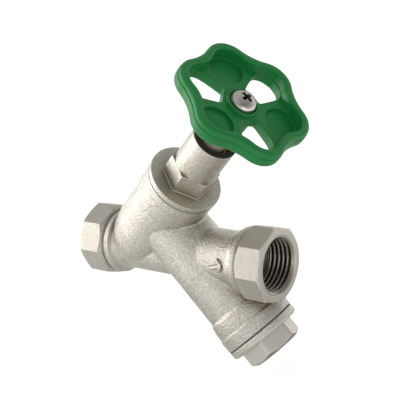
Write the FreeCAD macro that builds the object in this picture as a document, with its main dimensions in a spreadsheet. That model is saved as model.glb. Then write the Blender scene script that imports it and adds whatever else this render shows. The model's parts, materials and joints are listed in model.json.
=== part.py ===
import FreeCAD, Part
import math
import os
import Sketcher
from FreeCAD import Placement, Rotation, Vector

# A shut-off valve with a built-in Y-strainer for a half-inch pipe.
# The run lies along X with the mouth of the inlet at the origin.  The bonnet and the
# strainer stand in the XZ plane: the bonnet leans towards the outlet and up, the strainer
# towards the outlet and down.  The valve is drawn open.  All sizes are in millimetres.

SIZES = {
    # the run
    "run_length": 83.0,
    "port_flats": 26.0,
    "port_turn": 4.0,
    "port_nut_length": 9.0,
    "port_mouth_radius": 12.8,
    "pipe_radius": 10.1,
    "port_bore_radius": 10.5,
    "port_bore_depth": 13.0,
    "passage_radius": 7.6,
    # the bonnet branch: where its axis crosses the run and how far it leans from X
    "bonnet_cross": 18.65,
    "bonnet_lean": 45.0,
    "barrel_radius": 13.1,
    "collar_radius": 13.7,
    "collar_top": 39.5,
    "chamber_radius": 10.4,
    "collar_bore": 11.6,
    "seat_height": 10.0,
    "seat_bore": 6.6,
    # the strainer branch
    "strainer_cross": 46.3,
    "strainer_lean": -50.0,
    "strainer_radius": 12.5,
    "strainer_mouth_radius": 14.4,
    "strainer_end": 36.4,
    "strainer_start": -19.6,
    "basket_bore": 10.3,
    "basket_shoulder": -8.0,
    "cap_bore": 12.2,
    # the blends between the cast branches
    "pipe_blend": 2.0,
    "collar_blend": 1.2,
    # the bonnet and its gland
    "flange_radius": 13.9,
    "flange_base": 39.9,
    "flange_top": 42.3,
    "bonnet_bottom": 31.5,
    "flange_rounding": 0.35,
    "foot_flats": 16.3,
    "foot_turn": 34.6,
    "foot_top": 50.2,
    "foot_rounding": 0.4,
    "tube_radius": 8.25,
    "tube_bore": 6.9,
    "tube_top": 64.9,
    "stem_bore": 5.05,
    "gland_floor": 47.0,
    # the spindle and the disc it carries
    "thread_radius": 4.95,
    "stem_radius": 4.5,
    "disc_radius": 9.3,
    "washer_base": 18.4,
    "washer_top": 21.4,
    "square_flats": 7.0,
    "square_base": 72.0,
    "spindle_top": 85.1,
    # the handwheel
    "rim_base": 81.8,
    "rim_top": 88.0,
    "rim_rounding": 1.5,
    "rim_inner_rounding": 0.8,
    "web_base": 82.1,
    "web_top": 84.3,
    "hub_radius": 6.4,
    "hub_top": 86.0,
    "lobe_distance": 15.8,
    "lobe_radius": 8.55,
    "valley_distance": 21.15,
    "inner_lobe_distance": 14.6,
    "inner_lobe_radius": 6.5,
    "inner_valley_distance": 17.6,
    "wheel_turn": 31.9,
    "recess_distance": 15.0,
    "recess_radius": 5.9,
    "recess_depth": 0.7,
    "screw_head_radius": 4.35,
    # the strainer cap and the basket behind it
    "cap_radius": 14.3,
    "cap_base": 37.1,
    "cap_face": 40.0,
    "cap_end": 46.6,
    "cap_flats": 20.0,
    "cap_flange_rounding": 1.1,
    "cap_hexagon_rounding": 1.2,
    "screen_radius": 8.9,
    "screen_end": 33.5,
}

os.makedirs("parts", exist_ok=True)
doc = FreeCAD.newDocument("valve_with_y_strainer")
sheet = doc.addObject("Spreadsheet::Sheet", "dim")
for row, (word, value) in enumerate(SIZES.items(), start=1):
    sheet.set(f"A{row}", word)
    sheet.set(f"B{row}", str(value))
    sheet.setAlias(f"B{row}", word)
doc.recompute()

subparts = []


def value_of(text):
    """The number an expression gives, without its unit."""
    number = sheet.evalExpression(str(text))
    return float(getattr(number, "Value", number))


def origin_plane(body, role):
    return next(item for item in body.Origin.OriginFeatures if item.Role == role)


def new_body(name):
    body = doc.addObject("PartDesign::Body", name)
    body.Label = name
    subparts.append(body)
    return body


def stand_on_branch(body, branch):
    """Lay the body's own Z axis along the bonnet branch or the strainer branch."""
    lean = SIZES[branch + "_lean"]
    body.Placement = Placement(Vector(SIZES[branch + "_cross"], 0, 0), Rotation(Vector(0, 1, 0), 90 - lean))
    body.setExpression("Placement.Base.x", f"dim.{branch}_cross")
    body.setExpression("Placement.Rotation.Angle", f"(90 - dim.{branch}_lean) * 1 deg")


def new_sketch(body, name, role, lift="0", branch=None):
    """A sketch on a plane of the body; 'lift' raises it, 'branch' turns it to a branch axis."""
    sketch = body.newObject("Sketcher::SketchObject", name)
    sketch.AttachmentSupport = (origin_plane(body, role), [""])
    sketch.MapMode = "FlatFace"
    if branch:
        lean = SIZES[branch + "_lean"]
        cross = Vector(SIZES[branch + "_cross"], 0, 0)
        sketch.AttachmentOffset = Placement(cross, Rotation(Vector(0, 0, 1), lean - 90))
        sketch.setExpression("AttachmentOffset.Base.x", f"dim.{branch}_cross")
    else:
        sketch.setExpression("AttachmentOffset.Base.z", lift)
    return sketch


def pin_point(sketch, piece, point, x, y):
    """Tie one point of a sketch to two expressions."""
    for kind, text in (("DistanceX", x), ("DistanceY", y)):
        number = sketch.addConstraint(Sketcher.Constraint(kind, piece, point, value_of(text)))
        sketch.setExpression(f"Constraints[{number}]", str(text))


def draw_outline(sketch, corners):
    """Closed line through the corners, each one given as two expressions."""
    places = [Vector(value_of(x), value_of(y), 0) for x, y in corners]
    count = len(places)
    for k in range(count):
        sketch.addGeometry(Part.LineSegment(places[k], places[(k + 1) % count]), False)
    for k in range(count):
        sketch.addConstraint(Sketcher.Constraint("Coincident", k, 2, (k + 1) % count, 1))
    for k, (x, y) in enumerate(corners):
        pin_point(sketch, k, 1, x, y)


def draw_polygon(sketch, sides, flats, turn="0"):
    """Regular polygon given by its size across the flats; a corner stands at the turn angle."""
    step = 360.0 / sides
    reach = f"({flats}) / 2 / cos({step / 2} deg)"
    angles = [f"({turn} + {k * step}) * 1 deg" for k in range(sides)]
    draw_outline(sketch, [(f"{reach} * cos({a})", f"{reach} * sin({a})") for a in angles])


def draw_circle(sketch, radius, x="0", y="0"):
    piece = sketch.addGeometry(Part.Circle(Vector(value_of(x), value_of(y), 0), Vector(0, 0, 1),
                                           value_of(radius)), False)
    number = sketch.addConstraint(Sketcher.Constraint("Radius", piece, value_of(radius)))
    sketch.setExpression(f"Constraints[{number}]", str(radius))
    pin_point(sketch, piece, 3, x, y)


def turn_profile(body, name, corners, cut=False, branch=None, along_run=False):
    """Revolve a half profile: (radius, height) on a branch, (distance, radius) on the run."""
    sketch = new_sketch(body, name + "_profile", "XZ_Plane", branch=branch)
    draw_outline(sketch, corners)
    kind = "PartDesign::Groove" if cut else "PartDesign::Revolution"
    feature = body.newObject(kind, name)
    feature.Profile = sketch
    feature.ReferenceAxis = (sketch, ["H_Axis" if along_run else "V_Axis"])
    feature.Angle = 360
    sketch.Visibility = False
    return feature


def pad(body, name, sketch, length, down=False):
    feature = body.newObject("PartDesign::Pad", name)
    feature.Profile = sketch
    feature.setExpression("Length", str(length))
    feature.Reversed = down
    return feature


def pocket(body, name, sketch, length):
    """Cut downwards from the sketch."""
    feature = body.newObject("PartDesign::Pocket", name)
    feature.Profile = sketch
    feature.setExpression("Length", str(length))
    return feature


def repeat_round(body, name, features, times):
    """Repeat features round the body's own Z axis."""
    pattern = body.newObject("PartDesign::PolarPattern", name)
    pattern.Originals = features
    axis = next(item for item in body.Origin.OriginFeatures if item.Role == "Z_Axis")
    pattern.Axis = (axis, [""])
    pattern.Angle = 360
    pattern.Occurrences = times
    body.Tip = pattern
    return pattern


def round_edges(body, name, chosen, radius):
    """Round the edges of the present shape that the test 'chosen' accepts."""
    doc.recompute()
    base = body.Tip
    names = [f"Edge{k}" for k, edge in enumerate(base.Shape.Edges, start=1) if chosen(edge)]
    feature = body.newObject("PartDesign::Fillet", name)
    feature.Base = (base, names)
    feature.setExpression("Radius", radius)
    return feature


def turned_piece(name, branch, corners):
    """A piece that comes off the lathe whole: one revolved profile on a branch axis."""
    body = new_body(name)
    turn_profile(body, name + "_turning", corners)
    stand_on_branch(body, branch)
    return body


def ring(name, branch, inner, outer, low, high):
    """A plain ring or washer."""
    return turned_piece(name, branch, [(inner, low), (outer, low), (outer, high), (inner, high)])


# the cast body

def port_profile(face, inward):
    """Turned outline behind one port: wrench nut, groove, bead and the flare to the pipe."""
    steps = [
        ("0", "0"),
        ("0", "dim.port_mouth_radius - 0.4"),
        ("dim.port_nut_length + 1.9", "dim.port_mouth_radius - 0.8"),
        ("dim.port_nut_length + 2.6", "dim.port_mouth_radius - 0.4"),
        ("dim.port_nut_length + 4.3", "dim.port_mouth_radius - 0.4"),
        ("dim.port_nut_length + 5.2", "dim.pipe_radius + 1.1"),
        ("dim.port_nut_length + 7.0", "dim.pipe_radius + 0.8"),
        ("dim.port_nut_length + 8.8", "dim.pipe_radius"),
        ("dim.run_length / 2", "dim.pipe_radius"),
        ("dim.run_length / 2", "0"),
    ]
    return [(f"{face} {inward} ({u})", r) for u, r in steps]


def add_port(body, name, face, inward):
    """Eight-sided wrench nut with its corners turned off at both ends."""
    plane = new_sketch(body, name + "_flats", "YZ_Plane", lift=face)
    draw_polygon(plane, 8, "dim.port_flats", "90 - dim.port_turn")
    pad(body, name + "_nut", plane, "dim.port_nut_length + 1.5", down=inward == "-")
    reach = "dim.port_flats / 2 / cos(22.5 deg)"
    front = [("-0.5", "dim.port_mouth_radius - 0.7"), ("0.8", f"{reach} + 0.1"), ("-0.5", f"{reach} + 2")]
    back = [
        ("dim.port_nut_length", f"{reach} + 0.05"),
        ("dim.port_nut_length + 1.6", "dim.port_mouth_radius - 0.6"),
        ("dim.port_nut_length + 1.6", f"{reach} + 2"),
        ("dim.port_nut_length", f"{reach} + 2"),
    ]
    for end, corners in (("front", front), ("back", back)):
        places = [(f"{face} {inward} ({u})", r) for u, r in corners]
        turn_profile(body, f"{name}_{end}_turned", places, cut=True, along_run=True)


def bore_port(body, name, face, inward, floor):
    """Thread bore with a small lead-in, then the water passage as far as 'floor'."""
    corners = [
        ("-1", "0"),
        ("-1", "dim.port_bore_radius + 1.3"),
        ("0.3", "dim.port_bore_radius"),
        ("dim.port_bore_depth", "dim.port_bore_radius"),
        ("dim.port_bore_depth + 1", "dim.passage_radius"),
        (floor, "dim.passage_radius"),
        (floor, "0"),
    ]
    places = [(f"{face} {inward} ({u})", r) for u, r in corners]
    turn_profile(body, name, places, cut=True, along_run=True)


def is_pipe_crease(edge):
    """True for the long curves in which the strainer barrel meets the inlet and outlet pipes."""
    return edge.Curve.TypeId == "Part::GeomBSplineCurve" and edge.Length > 2 * SIZES["passage_radius"] + 5


def is_collar_crease(edge):
    """True for the curves in which the strainer barrel meets the bonnet collar on top."""
    above_pipe = edge.BoundBox.ZMin > SIZES["pipe_radius"] + 2
    return edge.Curve.TypeId == "Part::GeomBSplineCurve" and above_pipe and edge.Length > 6


def make_valve_body():
    body = new_body("valve_body")
    turn_profile(body, "run_inlet_side", port_profile("0", "+"), along_run=True)
    turn_profile(body, "run_outlet_side", port_profile("dim.run_length", "-"), along_run=True)
    # the nuts come before the branches, so that turning their corners leaves the branches whole
    add_port(body, "inlet", "0", "+")
    add_port(body, "outlet", "dim.run_length", "-")
    turn_profile(body, "bonnet_barrel", [
        ("0", "-1"),
        ("7.5", "-1"),
        ("10", "-0.3"),
        ("11.3", "1.2"),
        ("12.3", "5"),
        ("dim.barrel_radius", "11"),
        ("dim.barrel_radius", "28.9"),
        ("dim.collar_radius - 0.2", "29.5"),
        ("dim.collar_radius - 0.15", "35.6"),
        ("dim.collar_radius", "36"),
        ("dim.collar_radius", "dim.collar_top"),
        ("0", "dim.collar_top"),
    ], branch="bonnet")
    turn_profile(body, "strainer_barrel", [
        ("0", "dim.strainer_start"),
        ("dim.strainer_radius - 0.4", "dim.strainer_start"),
        ("dim.strainer_radius + 0.3", "24.6"),
        ("dim.strainer_mouth_radius - 0.9", "25.8"),
        ("dim.strainer_mouth_radius - 0.5", "28.6"),
        ("dim.strainer_mouth_radius - 0.4", "31.2"),
        ("dim.strainer_mouth_radius - 0.05", "32"),
        ("dim.strainer_mouth_radius", "dim.strainer_end"),
        ("0", "dim.strainer_end"),
    ], branch="strainer")
    round_edges(body, "pipe_blends", is_pipe_crease, "dim.pipe_blend")
    round_edges(body, "collar_blends", is_collar_crease, "dim.collar_blend")
    bore_port(body, "inlet_bore", "0", "+", "dim.bonnet_cross + 4.3")
    bore_port(body, "outlet_bore", "dim.run_length", "-", "dim.run_length - dim.strainer_cross")
    turn_profile(body, "seat_passage", [
        ("0", "-1"),
        ("dim.seat_bore", "-1"),
        ("dim.seat_bore", "dim.seat_height - 2.5"),
        ("dim.seat_bore + 2", "dim.seat_height - 2.5"),
        ("dim.seat_bore + 2", "dim.seat_height"),
        ("dim.chamber_radius", "dim.seat_height"),
        ("dim.chamber_radius", "30"),
        ("dim.collar_bore", "30.8"),
        ("dim.collar_bore", "dim.collar_top + 1"),
        ("0", "dim.collar_top + 1"),
    ], cut=True, branch="bonnet")
    turn_profile(body, "strainer_chamber", [
        ("0", "dim.strainer_start"),
        ("dim.basket_bore - 1.2", "dim.strainer_start"),
        ("dim.basket_bore - 1.2", "dim.basket_shoulder"),
        ("dim.basket_bore", "dim.basket_shoulder"),
        ("dim.basket_bore", "27"),
        ("dim.cap_bore", "28"),
        ("dim.cap_bore", "dim.strainer_end + 1"),
        ("0", "dim.strainer_end + 1"),
    ], cut=True, branch="strainer")
    return body


def make_seat_ring():
    """Hard seat pressed into the floor of the chamber, with a narrow raised lip."""
    return turned_piece("seat_ring", "bonnet", [
        ("dim.seat_bore", "dim.seat_height - 2.5"),
        ("dim.seat_bore + 2", "dim.seat_height - 2.5"),
        ("dim.seat_bore + 2", "dim.seat_height"),
        ("dim.seat_bore + 1", "dim.seat_height + 0.3"),
        ("dim.seat_bore + 0.6", "dim.seat_height + 0.3"),
        ("dim.seat_bore", "dim.seat_height"),
    ])


# the bonnet and what it holds

def is_circle_of(edge, radius):
    return edge.Curve.TypeId == "Part::GeomCircle" and abs(edge.Curve.Radius - radius) < 0.01


def is_flange_rim(edge):
    return is_circle_of(edge, SIZES["flange_radius"])


def is_foot_base(edge):
    """The straight edges in which the foot's flats stand on the flange."""
    low = abs(edge.BoundBox.ZMax - SIZES["flange_top"]) < 0.01
    return edge.Curve.TypeId == "Part::GeomLine" and low


def make_bonnet():
    """Screwed-in upper part: threaded skirt, flange, six-sided foot and the long tube."""
    body = new_body("bonnet")
    turn_profile(body, "bonnet_turning", [
        ("0", "dim.bonnet_bottom"),
        ("dim.collar_bore - 0.1", "dim.bonnet_bottom"),
        ("dim.collar_bore - 0.1", "dim.flange_base"),
        ("dim.flange_radius", "dim.flange_base"),
        ("dim.flange_radius", "dim.flange_top"),
        ("dim.tube_radius", "dim.flange_top"),
        ("dim.tube_radius", "dim.tube_top"),
        ("0", "dim.tube_top"),
    ])
    foot = new_sketch(body, "foot_flats", "XY_Plane", lift="dim.flange_top - 0.2")
    draw_polygon(foot, 6, "dim.foot_flats", "dim.foot_turn")
    pad(body, "foot", foot, "dim.foot_top - dim.flange_top + 0.2")
    cut_foot_flats(body)
    round_edges(body, "flange_rounding", is_flange_rim, "dim.flange_rounding")
    round_edges(body, "foot_rounding", is_foot_base, "dim.foot_rounding")
    turn_profile(body, "bonnet_bore", [
        ("0", "dim.bonnet_bottom - 1"),
        ("7.6", "dim.bonnet_bottom - 1"),
        ("7.6", "dim.bonnet_bottom + 1"),
        ("dim.stem_bore + 1", "dim.bonnet_bottom + 1"),
        ("dim.stem_bore", "dim.bonnet_bottom + 2"),
        ("dim.stem_bore", "dim.gland_floor"),
        ("dim.tube_bore - 0.4", "dim.gland_floor"),
        ("dim.tube_bore - 0.4", "60"),
        ("dim.tube_bore", "60"),
        ("dim.tube_bore", "dim.tube_top - 1.4"),
        ("dim.tube_bore + 0.6", "dim.tube_top - 1.4"),
        ("dim.tube_bore + 0.6", "dim.tube_top + 1"),
        ("0", "dim.tube_top + 1"),
    ], cut=True)
    stand_on_branch(body, "bonnet")
    return body


def cut_foot_flats(body):
    """The tube is a little wider than the flats, so the six flats are milled into it."""
    plate = new_sketch(body, "flat_cutter", "XY_Plane", lift="dim.foot_top")
    reach = "dim.foot_flats / 2"
    far = "dim.tube_radius + 3"
    half = "dim.foot_flats / 5"
    turn = "(dim.foot_turn + 30) * 1 deg"
    corners = []
    for along, across in ((reach, f"-{half}"), (far, f"-{half}"), (far, half), (reach, half)):
        corners.append((f"({along}) * cos({turn}) - ({across}) * sin({turn})",
                        f"({along}) * sin({turn}) + ({across}) * cos({turn})"))
    draw_outline(plate, corners)
    cutter = pocket(body, "one_flat", plate, "dim.foot_top - dim.flange_top")
    repeat_round(body, "six_flats", [cutter], 6)


def make_gland_nut():
    """Six-sided nut that presses the packing down inside the tube."""
    body = new_body("gland_nut")
    hexagon = new_sketch(body, "gland_nut_flats", "XY_Plane", lift="59.5")
    draw_polygon(hexagon, 6, "11", "dim.foot_turn")
    pad(body, "gland_nut_head", hexagon, "3.2")
    turn_profile(body, "gland_nut_thread", [
        ("dim.stem_radius + 0.15", "56"),
        ("dim.tube_bore - 0.5", "56"),
        ("dim.tube_bore - 0.5", "59.6"),
        ("dim.stem_radius + 0.15", "59.6"),
    ])
    turn_profile(body, "gland_nut_bore", [
        ("0", "59"),
        ("dim.stem_radius + 0.15", "59"),
        ("dim.stem_radius + 0.15", "62.3"),
        ("dim.stem_radius + 0.7", "63"),
        ("0", "63"),
    ], cut=True)
    stand_on_branch(body, "bonnet")
    return body


def make_gland():
    """Everything in the gland chamber, from its floor up to the nut."""
    clear = "dim.stem_radius + 0.1"
    snug = "dim.tube_bore - 0.5"
    ring("gland_washer", "bonnet", clear, snug, "dim.gland_floor", "dim.gland_floor + 1")
    packing = new_body("stem_packing_rings")
    packing.AllowCompound = True
    for k in range(3):
        low = f"dim.gland_floor + {1.05 + 1.9 * k:.2f}"
        turn_profile(packing, f"packing_ring_{k + 1}", [
            ("dim.stem_radius + 0.05", low),
            (snug, low),
            (snug, f"{low} + 1.8"),
            ("dim.stem_radius + 0.05", f"{low} + 1.8"),
        ])
    stand_on_branch(packing, "bonnet")
    ring("gland_follower", "bonnet", clear, snug, "dim.gland_floor + 6.7", "56")
    make_gland_nut()
    turned_piece("dust_ring", "bonnet", [
        ("dim.hub_radius + 0.15", "dim.tube_top - 1.4"),
        ("dim.tube_bore + 0.6", "dim.tube_top - 1.4"),
        ("dim.tube_bore + 0.6", "dim.tube_top"),
        ("dim.tube_radius - 0.05", "dim.tube_top"),
        ("dim.tube_radius - 0.2", "dim.tube_top + 0.6"),
        ("dim.hub_radius + 0.15", "dim.tube_top + 0.6"),
    ])


# the spindle and the disc

def make_spindle():
    """Rising spindle: button in the disc, back seat, thread, smooth stem and wheel square."""
    body = new_body("spindle")
    turn_profile(body, "spindle_turning", [
        ("0", "24.3"),
        ("5.4", "24.3"),
        ("5.4", "26.2"),
        ("3.6", "26.2"),
        ("3.6", "29.4"),
        ("5.8", "29.4"),
        ("5.8", "31.2"),
        ("dim.thread_radius", "32.4"),
        ("dim.thread_radius", "45.4"),
        ("dim.stem_radius", "46"),
        ("dim.stem_radius", "dim.square_base"),
        ("0", "dim.square_base"),
    ])
    square = new_sketch(body, "wheel_square", "XY_Plane", lift="dim.square_base - 0.5")
    draw_polygon(square, 4, "dim.square_flats", "dim.wheel_turn")
    pad(body, "wheel_end", square, "dim.spindle_top - dim.square_base + 0.5")
    turn_profile(body, "screw_hole", [
        ("0", "dim.spindle_top - 13"),
        ("2.5", "dim.spindle_top - 12"),
        ("2.5", "dim.spindle_top + 1"),
        ("0", "dim.spindle_top + 1"),
    ], cut=True)
    stand_on_branch(body, "bonnet")
    return body


def make_disc():
    """Disc holder with its stud, soft washer, nut and the ring that keeps the spindle in."""
    turned_piece("disc_holder", "bonnet", [
        ("0", "dim.washer_top - 5.8"),
        ("2.4", "dim.washer_top - 5.8"),
        ("2.4", "dim.washer_top"),
        ("dim.disc_radius - 0.5", "dim.washer_top"),
        ("dim.disc_radius - 0.5", "dim.washer_top - 1.8"),
        ("dim.disc_radius", "dim.washer_top - 1.8"),
        ("dim.disc_radius", "dim.washer_top + 1.4"),
        ("7.2", "dim.washer_top + 2.4"),
        ("7.2", "29.2"),
        ("6", "29.2"),
        ("6", "24.2"),
        ("0", "24.2"),
    ])
    ring("seat_washer", "bonnet", "2.45", "dim.disc_radius - 0.55", "dim.washer_base", "dim.washer_top")
    ring("disc_retaining_ring", "bonnet", "3.7", "5.95", "26.5", "29.2")
    nut = new_body("disc_nut")
    hexagon = new_sketch(nut, "disc_nut_flats", "XY_Plane", lift="dim.washer_base - 2.5")
    draw_polygon(hexagon, 6, "8", "0")
    pad(nut, "disc_nut_body", hexagon, "2.5")
    bore = new_sketch(nut, "disc_nut_bore", "XY_Plane", lift="dim.washer_base")
    draw_circle(bore, "2.45")
    pocket(nut, "disc_nut_thread", bore, "2.5")
    stand_on_branch(nut, "bonnet")


# the handwheel

def polar(distance, turn):
    """Expressions for the point at a distance and an angle in degrees from the wheel's axis."""
    return (f"({distance}) * cos(({turn}) * 1 deg)", f"({distance}) * sin(({turn}) * 1 deg)")


def draw_lobed_outline(sketch, lobe, valley):
    """Six rounded lobes joined by hollow arcs.  'lobe' holds the names of the centre distance
    and the radius of a lobe; 'valley' is the name of the least distance from the axis."""
    distance = SIZES[lobe[0]]
    radius = SIZES[lobe[1]]
    least = SIZES[valley]
    half = math.radians(30)
    # the hollow arc touches both its lobes: this gives its radius and its centre
    hollow = distance ** 2 + least ** 2 - 2 * distance * least * math.cos(half) - radius ** 2
    hollow /= 2 * (radius - least + distance * math.cos(half))
    centre_distance = least + hollow
    touch = math.atan2(centre_distance * math.sin(half), centre_distance * math.cos(half) - distance)
    up = Vector(0, 0, 1)
    for k in range(6):
        turn = math.radians(SIZES["wheel_turn"] + 60 * k)
        centre = Vector(distance * math.cos(turn), distance * math.sin(turn), 0)
        sketch.addGeometry(Part.ArcOfCircle(Part.Circle(centre, up, radius), turn - touch, turn + touch), False)
        middle = turn + half
        centre = Vector(centre_distance * math.cos(middle), centre_distance * math.sin(middle), 0)
        spread = touch - half
        back = middle + math.pi
        sketch.addGeometry(Part.ArcOfCircle(Part.Circle(centre, up, hollow), back - spread, back + spread), False)
    for k in range(6):
        lobe_arc = 2 * k
        hollow_arc = 2 * k + 1
        next_lobe = (2 * k + 2) % 12
        sketch.addConstraint(Sketcher.Constraint("Tangent", lobe_arc, 2, hollow_arc, 2))
        sketch.addConstraint(Sketcher.Constraint("Tangent", hollow_arc, 1, next_lobe, 1))
        pin_point(sketch, lobe_arc, 3, *polar(f"dim.{lobe[0]}", f"dim.wheel_turn + {60 * k}"))
        number = sketch.addConstraint(Sketcher.Constraint("Radius", lobe_arc, radius))
        sketch.setExpression(f"Constraints[{number}]", f"dim.{lobe[1]}")
        sketch.addConstraint(Sketcher.Constraint("Radius", hollow_arc, hollow))


# half of a finger opening, as (distance from the hub's middle, half width)
OPENING_SIDE = [
    ("7.3", "2.0"), ("8.4", "3.6"), ("10.4", "4.4"), ("13.0", "5.4"), ("15.0", "6.0"),
    ("17.0", "5.7"), ("18.7", "4.6"), ("20.0", "2.9"),
]
OPENING_END = "20.7"


def draw_opening(sketch):
    """Finger opening: narrow at the hub, widening outwards and round at its outer end."""
    turn = "(dim.wheel_turn + 60)"
    one_side = [(along, "-" + across) for along, across in OPENING_SIDE]
    other_side = list(reversed(OPENING_SIDE))
    corners = []
    for along, across in one_side + [(OPENING_END, "0")] + other_side:
        corners.append((f"{along} * cos({turn} * 1 deg) - ({across}) * sin({turn} * 1 deg)",
                        f"{along} * sin({turn} * 1 deg) + ({across}) * cos({turn} * 1 deg)"))
    draw_outline(sketch, corners)


def is_rim_edge(edge, height, outside):
    """True for the level edges of the rim at a height, on its outside or its inside."""
    box = edge.BoundBox
    level = abs(box.ZMin - height) < 0.01 and abs(box.ZMax - height) < 0.01
    middle = edge.valueAt((edge.FirstParameter + edge.LastParameter) / 2)
    beyond = math.hypot(middle.x, middle.y) > SIZES["valley_distance"] - 0.2
    lobe = edge.Curve.TypeId == "Part::GeomCircle" and edge.Curve.Radius < SIZES["lobe_radius"] - 0.1
    return level and (beyond and not lobe) == outside


def is_outer_rim_edge(edge):
    return is_rim_edge(edge, SIZES["rim_top"], True) or is_rim_edge(edge, SIZES["rim_base"], True)


def is_inner_rim_edge(edge):
    return is_rim_edge(edge, SIZES["rim_top"], False)


def make_handwheel():
    body = new_body("handwheel")
    outer = new_sketch(body, "rim_outline", "XY_Plane", lift="dim.rim_base")
    draw_lobed_outline(outer, ("lobe_distance", "lobe_radius"), "valley_distance")
    pad(body, "rim_blank", outer, "dim.rim_top - dim.rim_base")
    for name, lift, depth in (("upper", "dim.rim_top", "dim.rim_top - dim.web_top"),
                              ("lower", "dim.web_base", "dim.web_base - dim.rim_base")):
        inner = new_sketch(body, name + "_dish_outline", "XY_Plane", lift=lift)
        draw_lobed_outline(inner, ("inner_lobe_distance", "inner_lobe_radius"), "inner_valley_distance")
        pocket(body, name + "_dish", inner, depth)
    round_edges(body, "rim_rounding", is_outer_rim_edge, "dim.rim_rounding")
    round_edges(body, "rim_inner_rounding", is_inner_rim_edge, "dim.rim_inner_rounding")
    turn_profile(body, "hub", [
        ("0", "dim.square_base"),
        ("dim.hub_radius - 0.2", "dim.square_base"),
        ("dim.hub_radius", "dim.square_base + 0.3"),
        ("dim.hub_radius + 0.1", "dim.web_top"),
        ("dim.hub_radius - 0.5", "dim.hub_top"),
        ("0", "dim.hub_top"),
    ])
    opening = new_sketch(body, "opening_outline", "XY_Plane", lift="dim.web_top")
    draw_opening(opening)
    hole = pocket(body, "finger_opening", opening, "dim.web_top - dim.web_base")
    repeat_round(body, "finger_openings", [hole], 3)
    recess = new_sketch(body, "recess_outline", "XY_Plane", lift="dim.web_top")
    draw_circle(recess, "dim.recess_radius", *polar("dim.recess_distance", "dim.wheel_turn"))
    dish = pocket(body, "round_recess", recess, "dim.recess_depth")
    repeat_round(body, "round_recesses", [dish], 3)
    square = new_sketch(body, "hub_square", "XY_Plane", lift="dim.hub_top")
    draw_polygon(square, 4, "dim.square_flats + 0.1", "dim.wheel_turn")
    pocket(body, "hub_square_hole", square, "dim.hub_top - dim.square_base")
    turn_profile(body, "screw_seat", [
        ("0", "dim.hub_top - 0.3"),
        ("dim.screw_head_radius + 0.3", "dim.hub_top - 0.3"),
        ("dim.screw_head_radius + 0.3", "dim.hub_top + 1"),
        ("0", "dim.hub_top + 1"),
    ], cut=True)
    stand_on_branch(body, "bonnet")
    return body


def make_handwheel_screw():
    """Pan-head screw down the middle of the hub, with a cross recess."""
    body = new_body("handwheel_screw")
    turn_profile(body, "screw_turning", [
        ("0", "dim.spindle_top - 10"),
        ("2.4", "dim.spindle_top - 9.5"),
        ("2.4", "dim.hub_top - 0.3"),
        ("dim.screw_head_radius", "dim.hub_top - 0.3"),
        ("dim.screw_head_radius", "dim.hub_top + 0.3"),
        ("dim.screw_head_radius - 0.5", "dim.hub_top + 1.2"),
        ("dim.screw_head_radius - 1.5", "dim.hub_top + 1.9"),
        ("1.5", "dim.hub_top + 2.35"),
        ("0", "dim.hub_top + 2.5"),
    ])
    stand_on_branch(body, "bonnet")
    return body


# the strainer

def is_cap_flange_edge(edge):
    """Outer edge of the cap's flange on the side of its hexagon."""
    far = abs(edge.BoundBox.ZMax - SIZES["cap_face"]) < 0.01
    return far and is_circle_of(edge, SIZES["cap_radius"])


def is_cap_hexagon_edge(edge):
    """Edges round the end face of the cap's hexagon and down its corners."""
    return edge.Curve.TypeId == "Part::GeomLine" and edge.BoundBox.ZMax > SIZES["cap_end"] - 0.01


def make_strainer_cap():
    body = new_body("strainer_cap")
    turn_profile(body, "cap_turning", [
        ("0", "29"),
        ("dim.cap_bore - 0.15", "29"),
        ("dim.cap_bore - 0.15", "dim.cap_base"),
        ("dim.cap_radius", "dim.cap_base"),
        ("dim.cap_radius", "dim.cap_face"),
        ("0", "dim.cap_face"),
    ])
    hexagon = new_sketch(body, "cap_flats_outline", "XY_Plane", lift="dim.cap_face - 0.3")
    draw_polygon(hexagon, 6, "dim.cap_flats", "0")
    pad(body, "cap_hexagon", hexagon, "dim.cap_end - dim.cap_face + 0.3")
    round_edges(body, "cap_flange_rounding", is_cap_flange_edge, "dim.cap_flange_rounding")
    round_edges(body, "cap_hexagon_rounding", is_cap_hexagon_edge, "dim.cap_hexagon_rounding")
    turn_profile(body, "basket_pocket", [
        ("0", "28"),
        ("dim.basket_bore + 0.3", "28"),
        ("dim.basket_bore + 0.3", "dim.screen_end + 1.6"),
        ("0", "dim.screen_end + 1.6"),
    ], cut=True)
    stand_on_branch(body, "strainer")
    return body


def make_basket():
    """Sheet-metal screen between a top ring and a bottom ring."""
    ring("basket_top_ring", "strainer", "dim.screen_radius - 0.8", "dim.basket_bore - 0.3",
         "dim.basket_shoulder + 0.1", "dim.basket_shoulder + 1.6")
    ring("basket_screen", "strainer", "dim.screen_radius - 0.3", "dim.screen_radius",
         "dim.basket_shoulder + 1.6", "dim.screen_end")
    ring("basket_bottom_ring", "strainer", "dim.screen_radius - 0.8", "dim.basket_bore",
         "dim.screen_end", "dim.screen_end + 1.5")


make_valve_body()
make_seat_ring()
ring("bonnet_gasket", "bonnet", "dim.collar_bore", "dim.collar_radius - 0.3", "dim.collar_top", "dim.flange_base")
make_bonnet()
make_gland()
make_spindle()
make_disc()
make_handwheel()
make_handwheel_screw()
make_strainer_cap()
ring("cap_gasket", "strainer", "dim.cap_bore", "dim.cap_radius - 0.2", "dim.strainer_end + 0.05",
     "dim.cap_base - 0.05")
make_basket()

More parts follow.
